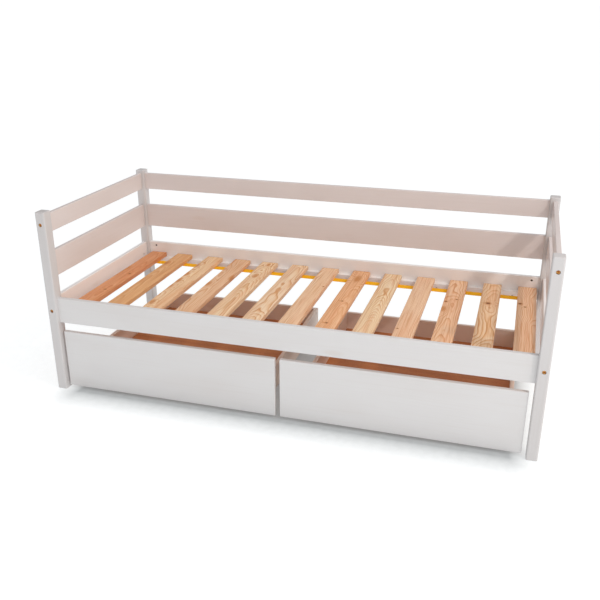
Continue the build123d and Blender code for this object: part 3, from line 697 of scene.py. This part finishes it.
class DAYBED_OT_slats(bpy.types.Operator):
    """Makes the planed pine slats"""
    bl_idname = "daybed.slats"
    bl_label = "Slats"

    def execute(self, context):
        sizes, colours = context.scene.day_bed_sizes, context.scene.day_bed_colours
        names = [f"slat_{i + 1:02d}" for i in range(len(SLATS))]
        boxes = [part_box(name) for name in names]
        middles = [(low + high) / 2 for low, high in boxes]
        host = host_mesh("slats", middles)
        store(host, "slat_middle", "FLOAT", [m.x for m in middles])
        store(host, "slat_tint", "FLOAT_COLOR", [linear(tint) for tint, _, _ in SLATS])
        hearts = [(x * MM, depth * MM, rise * MM) for _, (x, depth, rise), _ in SLATS]
        store(host, "slat_heart", "FLOAT_VECTOR", hearts)
        for number in range(KNOTS_PER_SLAT):
            spots = [knots[number] if number < len(knots) else (0, 0, 0) for _, _, knots in SLATS]
            store(host, f"slat_knot_{number}", "FLOAT_VECTOR", [[x * MM for x in spot] for spot in spots])
        span = boxes[0][1] - boxes[0][0]
        tree, identifiers = slat_tree(planed_pine("planed_pine", colours, True))
        grow(host, tree, identifiers,
             {"Width": span.x, "Length": span.y, "Thickness": span.z, "Arris": sizes.slat_arris},
             "frame", "planed_pine", *names)
        return {"FINISHED"}


class DAYBED_OT_webbing(bpy.types.Operator):
    """Hangs the two webbing tapes under the slats, and staples them on"""
    bl_idname = "daybed.webbing"
    bl_label = "Webbing and staples"

    def execute(self, context):
        sizes, colours = context.scene.day_bed_sizes, context.scene.day_bed_colours
        low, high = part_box("slat_tapes")
        boxes = [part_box(f"slat_{i + 1:02d}") for i in range(len(SLATS))]
        rows = (low.y + sizes.tape_width / 2, high.y - sizes.tape_width / 2)
        flat = high.z - sizes.tape_thickness / 2
        # A staple's crown lies against the underside of the tape.
        staple_z = low.z + (sizes.staple_leg - sizes.staple_wire) / 2
        points, edges, staples = [], [], []
        for row in rows:
            first = len(points)
            for i, (near, far) in enumerate(boxes):
                if i:
                    gap = near.x - boxes[i - 1][1].x
                    points += [(near.x - gap * (1 - share), row,
                                flat - sizes.tape_sag * 4 * share * (1 - share))
                               for share in SAG_SHARES]
                points += [(near.x, row, flat), (far.x, row, flat)]
                staples += [((near.x + far.x) / 2 + side, row, staple_z)
                            for side in (-sizes.staple_spacing / 2, sizes.staple_spacing / 2)]
            edges += [(j, j + 1) for j in range(first, len(points) - 1)]
        tree, identifiers = tape_tree(yellow_webbing(colours))
        grow(host_mesh("webbing_tapes", points, edges), tree, identifiers,
             {"Width": sizes.tape_width, "Thickness": sizes.tape_thickness},
             "frame", "yellow_webbing", "slat_tapes")
        wire = plated_steel("staple_wire", colours.clear_zinc, "#A9ACB2", "#D8D9DC", 0.3)
        tree, identifiers = staple_tree(wire)
        grow(host_mesh("tape_staples", staples), tree, identifiers,
             {"Crown": sizes.staple_width, "Leg": sizes.staple_leg, "Wire": sizes.staple_wire},
             "frame", "zinc_plated_steel")
        return {"FINISHED"}


class DAYBED_OT_screws(bpy.types.Operator):
    """Drives the cross-head screws of the ledgers and drawers"""
    bl_idname = "daybed.screws"
    bl_label = "Screws"

    def execute(self, context):
        sizes, colours = context.scene.day_bed_sizes, context.scene.day_bed_colours
        zinc = plated_steel("screw_zinc", colours.clear_zinc, "#9FA2A8", "#DADBDE", 0.3)
        tree, identifiers = screw_tree(zinc)
        for node, body in [("ledger_screws", "frame")] + [(f"{drawer}_screws", drawer) for drawer in DRAWERS]:
            places = screw_places(node)
            host = host_mesh(node + "_cross_head", [head for head, _ in places])
            store(host, "way", "FLOAT_VECTOR", [way for _, way in places])
            grow(host, tree, identifiers,
                 {"Head": sizes.screw_head, "Shank": sizes.screw_shank, "Length": sizes.screw_length,
                  "Recess": sizes.recess},
                 body, "zinc_plated_steel", node)
        return {"FINISHED"}


class DAYBED_OT_studio(bpy.types.Operator):
    """Sets up the paper sweep, the soft lights, the surroundings and the camera"""
    bl_idname = "daybed.studio"
    bl_label = "Studio"

    def execute(self, context):
        scene = context.scene
        studio, colours = scene.day_bed_studio, scene.day_bed_colours
        bpy.ops.mesh.primitive_circle_add(vertices=64, radius=FLOOR_RADIUS, fill_type="NGON",
                                          location=(0.0, 0.0, 0.0))
        floor = context.object
        floor.name = "paper_floor"
        floor.data.materials.append(paper_sweep(colours, studio))
        # Each light's name, place and width in metres, power and tint.
        lights = (("key_light", (2.5, -1.5, 2.6), 0.16, studio.key_power, "#FFF3EC"),
                  ("fill_light", (2.6, -2.9, 1.1), 1.6, studio.fill_power, "#FFFDFB"))
        for name, place, size, power, hex_colour in lights:
            lamp = bpy.data.lights.new(name, "AREA")
            lamp.energy, lamp.size, lamp.color = power, size, linear(hex_colour)[:3]
            holder = bpy.data.objects.new(name, lamp)
            holder.location = place
            holder.rotation_euler = (Vector(LIT_POINT) - Vector(place)).to_track_quat("-Z", "Y").to_euler()
            scene.collection.objects.link(holder)
        world = bpy.data.worlds.new("studio_walls")
        world.use_nodes = True
        tree = world.node_tree
        tree.nodes.clear()
        way = add(tree, "ShaderNodeTexCoord").outputs["Generated"]
        way = add(tree, "ShaderNodeSeparateXYZ", {0: way}).outputs
        level = add(tree, "ShaderNodeMapRange",
                    {0: way["Z"], 1: 0.1, 2: 0.9, 3: studio.horizon, 4: studio.ceiling},
                    interpolation_type="SMOOTHSTEP").outputs[0]
        # The sweep's far edge melts into a white strip low on the walls. The walls at the right and
        # in front are brighter.
        strip = add(tree, "ShaderNodeMapRange", {0: way["Z"], 1: 0.01, 2: 0.07, 3: 1.0, 4: 0.0},
                    interpolation_type="SMOOTHSTEP").outputs[0]
        side = add(tree, "ShaderNodeMath", {0: way["X"], 1: 0.55, 2: 1.0},
                   operation="MULTIPLY_ADD").outputs[0]
        side = add(tree, "ShaderNodeMath", {0: way["Y"], 1: -0.15, 2: side},
                   operation="MULTIPLY_ADD").outputs[0]
        level = add(tree, "ShaderNodeMath", {0: level, 1: side, 2: strip},
                    operation="MULTIPLY_ADD").outputs[0]
        rightward = add(tree, "ShaderNodeMapRange", {0: way["X"], 1: -0.5, 2: 1.0}).outputs[0]
        tint = add(tree, "ShaderNodeValToRGB", {0: rightward},
                   [(0.0, "#FBFCFF"), (1.0, "#FFF8F3")]).outputs[0]
        walls = add(tree, "ShaderNodeBackground", {0: tint, 1: level}).outputs[0]
        add(tree, "ShaderNodeOutputWorld", {0: walls})
        scene.world = world
        scene.view_settings.view_transform = "Standard"
        lens = bpy.data.cameras.new("studio_camera")
        lens.sensor_width, lens.lens = 36.0, studio.focal_length
        lens.shift_x, lens.shift_y = CAMERA_SHIFT
        camera = bpy.data.objects.new("studio_camera", lens)
        camera.location = CAMERA_PLACE
        camera.rotation_euler = CAMERA_TURN
        scene.collection.objects.link(camera)
        scene.camera = camera
        return {"FINISHED"}


MAKERS = (DAYBED_OT_studio, DAYBED_OT_lacquered_frame, DAYBED_OT_hardware, DAYBED_OT_slats, DAYBED_OT_webbing,
          DAYBED_OT_screws)
GROUPS = {"day_bed_sizes": DayBedSizes, "day_bed_colours": DayBedColours, "day_bed_studio": DayBedStudio}


class DAYBED_PT_panel(bpy.types.Panel):
    """Lists the day bed's operators and settings"""
    bl_idname = "DAYBED_PT_panel"
    bl_label = "Day bed"
    bl_space_type = "VIEW_3D"
    bl_region_type = "UI"
    bl_category = "Day bed"

    def draw(self, context):
        for maker in MAKERS:
            self.layout.operator(maker.bl_idname)
        for group in GROUPS:
            settings = getattr(context.scene, group)
            for name in settings.bl_rna.properties.keys():
                if name not in ("rna_type", "name"):
                    self.layout.prop(settings, name)


def register():
    for part in (*GROUPS.values(), *MAKERS, DAYBED_PT_panel):
        bpy.utils.register_class(part)
    for name, group in GROUPS.items():
        setattr(bpy.types.Scene, name, bpy.props.PointerProperty(type=group))


def unregister():
    for name in GROUPS:
        delattr(bpy.types.Scene, name)
    for part in reversed((*GROUPS.values(), *MAKERS, DAYBED_PT_panel)):
        bpy.utils.unregister_class(part)


def main():
    register()
    for maker in MAKERS:
        package, name = maker.bl_idname.split(".")
        getattr(getattr(bpy.ops, package), name)()


if __name__ == "__main__":
    main()
